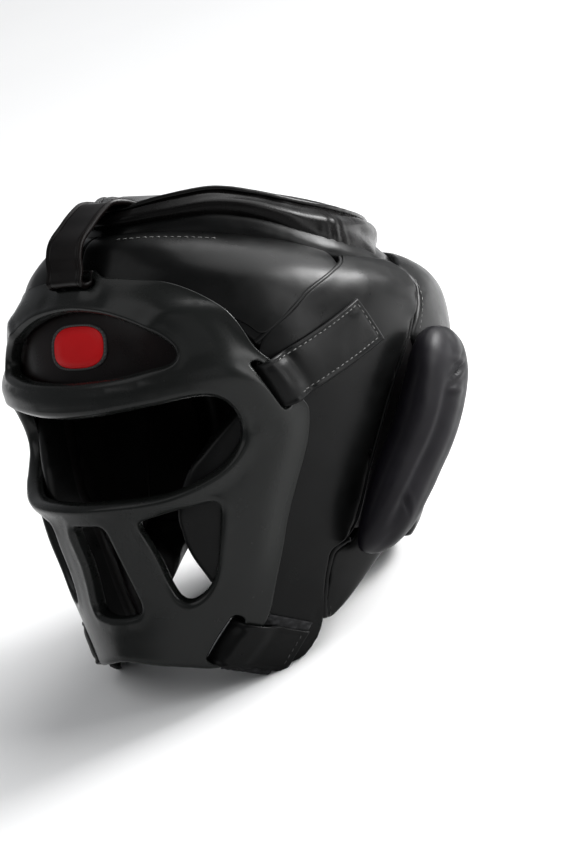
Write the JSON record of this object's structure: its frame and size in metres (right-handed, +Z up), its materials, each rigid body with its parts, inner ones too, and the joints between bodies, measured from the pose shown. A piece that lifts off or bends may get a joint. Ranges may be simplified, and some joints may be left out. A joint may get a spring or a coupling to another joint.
{
  "type": "boxing headgear with face grill",
  "caption": "Black padded leather boxing headgear with a moulded face grill, stuffed crown cushion, ear cushions and stitched straps.",
  "frame": {"origin": "centre of the bounding box's bottom face, on the surface that the headgear rests on", "axes": "+Z up from the resting surface, -Y the way the wearer's face points (leaned back by 29.6 degrees as it rests), +X the wearer's left"},
  "size_m": [0.2606, 0.2942, 0.2626],
  "materials": {
    "black_leather": "semi-gloss",
    "ear_leather": "satin",
    "grill_plastic": "satin",
    "strap_web": "satin",
    "lining": "satin",
    "thread": "matte",
    "hook_and_loop": "matte"
  },
  "bodies": {
    "root": {"face_grill": "grill_plastic", "forehead_pad": "lining", "top_panel_left": "black_leather", "top_panel_right": "black_leather", "side_panel_left": "black_leather", "side_panel_right": "black_leather", "jaw_panel_left": "black_leather", "jaw_panel_right": "black_leather", "back_panel": "black_leather", "crown_pad": "black_leather", "ear_pad_left": "ear_leather", "ear_pad_right": "ear_leather", "brow_strap": "strap_web", "temple_strap_left": "black_leather", "temple_strap_right": "black_leather", "jaw_strap_left": "black_leather", "jaw_strap_right": "black_leather"}
  },
  "joints": []
}
